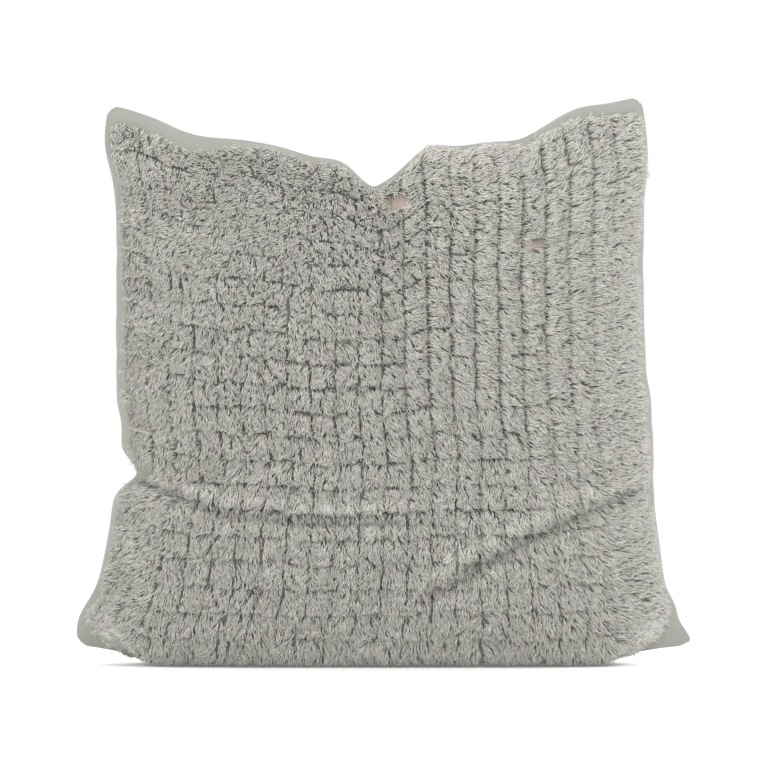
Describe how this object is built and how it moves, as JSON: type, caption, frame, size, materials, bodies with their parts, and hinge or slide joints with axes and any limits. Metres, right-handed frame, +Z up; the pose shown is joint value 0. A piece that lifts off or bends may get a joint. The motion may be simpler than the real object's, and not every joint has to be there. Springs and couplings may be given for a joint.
{
  "type": "throw pillow",
  "caption": "Square stuffed throw pillow with a tufted cut-pile front, a plain zipped back and a dent in its top edge, standing on its lower edge.",
  "frame": {"origin": "centre of the pillow's bounding box, on the surface that it stands on", "axes": "+Z up, -Y the tufted front, +Y the zipped back, +X to the right when the front is looked at"},
  "size_m": [0.5006, 0.165, 0.461],
  "materials": {
    "pile": "matt cut pile",
    "ground_cloth": "matt woven cotton",
    "back_cloth": "matt woven cotton",
    "zipper_tape": "matt woven polyester",
    "zipper_coil": "satin nylon",
    "zipper_metal": "satin nickel plate",
    "thread": "sewing thread",
    "label": "plain satin tape",
    "insert_shell": "plain white cotton",
    "insert_fill": "loose fibre"
  },
  "bodies": {
    "pillow": {"front_ground_cloth": "ground_cloth", "pile_column_01": "pile", "pile_column_02": "pile", "pile_column_03": "pile", "pile_column_04": "pile", "pile_column_05": "pile", "pile_column_06": "pile", "pile_column_07": "pile", "pile_column_08": "pile", "pile_column_09": "pile", "pile_column_10": "pile", "pile_column_11": "pile", "pile_column_12": "pile", "pile_column_13": "pile", "pile_column_14": "pile", "pile_column_15": "pile", "pile_column_16": "pile", "pile_column_17": "pile", "pile_column_18": "pile", "pile_column_19": "pile", "pile_column_20": "pile", "pile_column_21": "pile", "pile_column_22": "pile", "back_panel_upper": "back_cloth", "back_panel_lower": "back_cloth", "edge_seam_allowance": "back_cloth", "zipper_tape_upper": "zipper_tape", "zipper_tape_lower": "zipper_tape", "zipper_coil_upper": "zipper_coil", "zipper_coil_lower": "zipper_coil", "zipper_top_stops": "zipper_metal", "zipper_bottom_stop": "zipper_metal", "zipper_stitching_upper": "thread", "zipper_stitching_lower": "thread", "care_label": "label", "insert_shell_front": "insert_shell", "insert_shell_back": "insert_shell", "insert_edge_seam": "thread", "insert_fill": "insert_fill"},
    "slider": {"zipper_slider_body": "zipper_metal", "zipper_slider_bridge": "zipper_metal"},
    "pull_tab": {"zipper_pull_tab": "zipper_metal"}
  },
  "joints": [
    {"name": "zipper_slide", "type": "slide", "parent": "pillow", "child": "slider", "axis": [-1, 0, 0], "range_m": [0, 0.2865]},
    {"name": "pull_tab_turn", "type": "hinge", "parent": "slider", "child": "pull_tab", "pos_m": [0.14325, 0.0728, 0.064], "axis": [0, 0, 1], "range_deg": [0, 180]}
  ]
}
